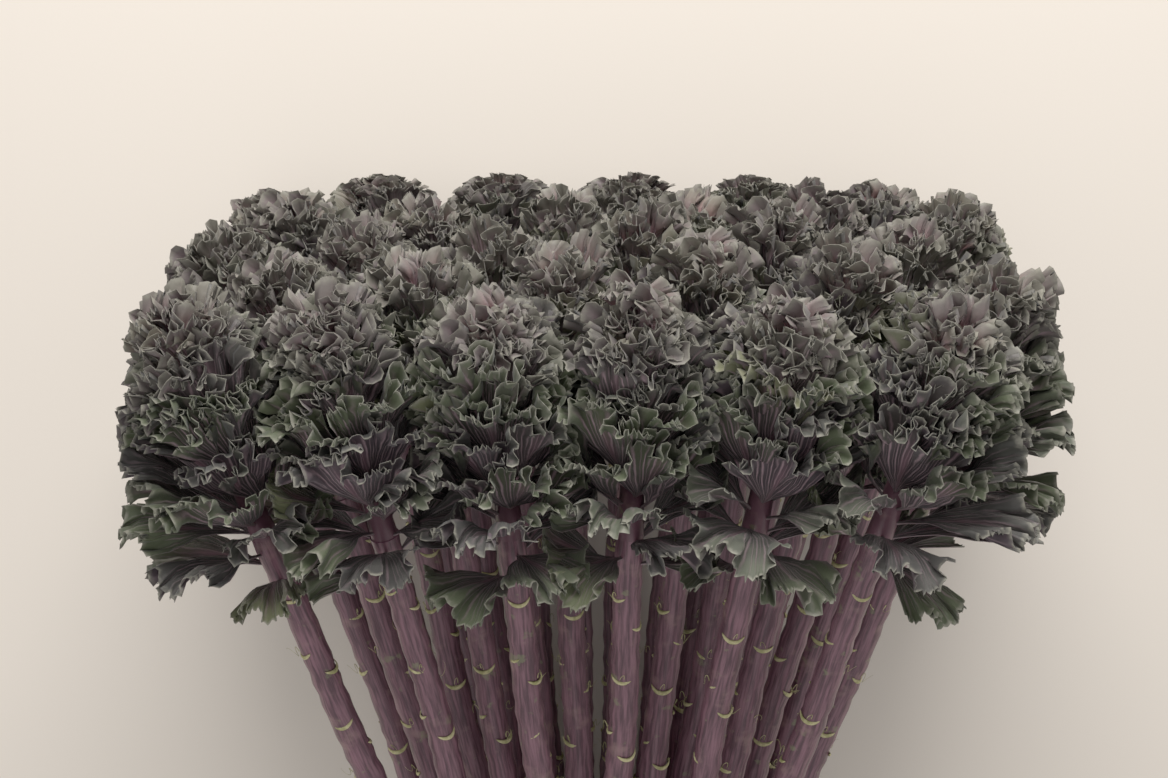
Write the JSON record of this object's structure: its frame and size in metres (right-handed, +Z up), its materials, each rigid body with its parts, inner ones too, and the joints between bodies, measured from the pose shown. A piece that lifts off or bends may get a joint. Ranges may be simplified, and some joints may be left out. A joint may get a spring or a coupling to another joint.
{
  "type": "purple kale bunch",
  "caption": "Dense bunch of cut ornamental kale, dark purple frilly heads above long bare purple stems, lying on its back in a fan.",
  "frame": {"origin": "under the middle of the bunch's box, on the surface that it lies on", "axes": "+Y from the cut stem ends to the heads, +X to the right seen from above, +Z up from the surface"},
  "size_m": [0.6196, 0.683, 0.4359],
  "materials": {
    "kale_leaf": "waxy matt, veined, with paler frilled margins",
    "kale_stem": "smooth waxy skin with pale leaf scars"
  },
  "bodies": {
    "root": {"kale_head_01": "kale_leaf", "kale_head_02": "kale_leaf", "kale_head_03": "kale_leaf", "kale_head_04": "kale_leaf", "kale_head_05": "kale_leaf", "kale_head_06": "kale_leaf", "kale_head_07": "kale_leaf", "kale_head_08": "kale_leaf", "kale_head_09": "kale_leaf", "kale_head_10": "kale_leaf", "kale_head_11": "kale_leaf", "kale_head_12": "kale_leaf", "kale_head_13": "kale_leaf", "kale_head_14": "kale_leaf", "kale_head_15": "kale_leaf", "kale_head_16": "kale_leaf", "kale_head_17": "kale_leaf", "kale_head_18": "kale_leaf", "kale_head_19": "kale_leaf", "kale_head_20": "kale_leaf", "kale_head_21": "kale_leaf", "kale_head_22": "kale_leaf", "kale_head_23": "kale_leaf", "kale_head_24": "kale_leaf", "kale_head_25": "kale_leaf", "kale_head_26": "kale_leaf", "kale_head_27": "kale_leaf", "kale_head_28": "kale_leaf", "kale_head_29": "kale_leaf", "kale_head_30": "kale_leaf", "kale_stem_01": "kale_stem", "kale_stem_02": "kale_stem", "kale_stem_03": "kale_stem", "kale_stem_04": "kale_stem", "kale_stem_05": "kale_stem", "kale_stem_06": "kale_stem", "kale_stem_07": "kale_stem", "kale_stem_08": "kale_stem", "kale_stem_09": "kale_stem", "kale_stem_10": "kale_stem", "kale_stem_11": "kale_stem", "kale_stem_12": "kale_stem", "kale_stem_13": "kale_stem", "kale_stem_14": "kale_stem", "kale_stem_15": "kale_stem", "kale_stem_16": "kale_stem", "kale_stem_17": "kale_stem", "kale_stem_18": "kale_stem", "kale_stem_19": "kale_stem", "kale_stem_20": "kale_stem", "kale_stem_21": "kale_stem", "kale_stem_22": "kale_stem", "kale_stem_23": "kale_stem", "kale_stem_24": "kale_stem", "kale_stem_25": "kale_stem", "kale_stem_26": "kale_stem", "kale_stem_27": "kale_stem", "kale_stem_28": "kale_stem", "kale_stem_29": "kale_stem", "kale_stem_30": "kale_stem"}
  },
  "joints": []
}
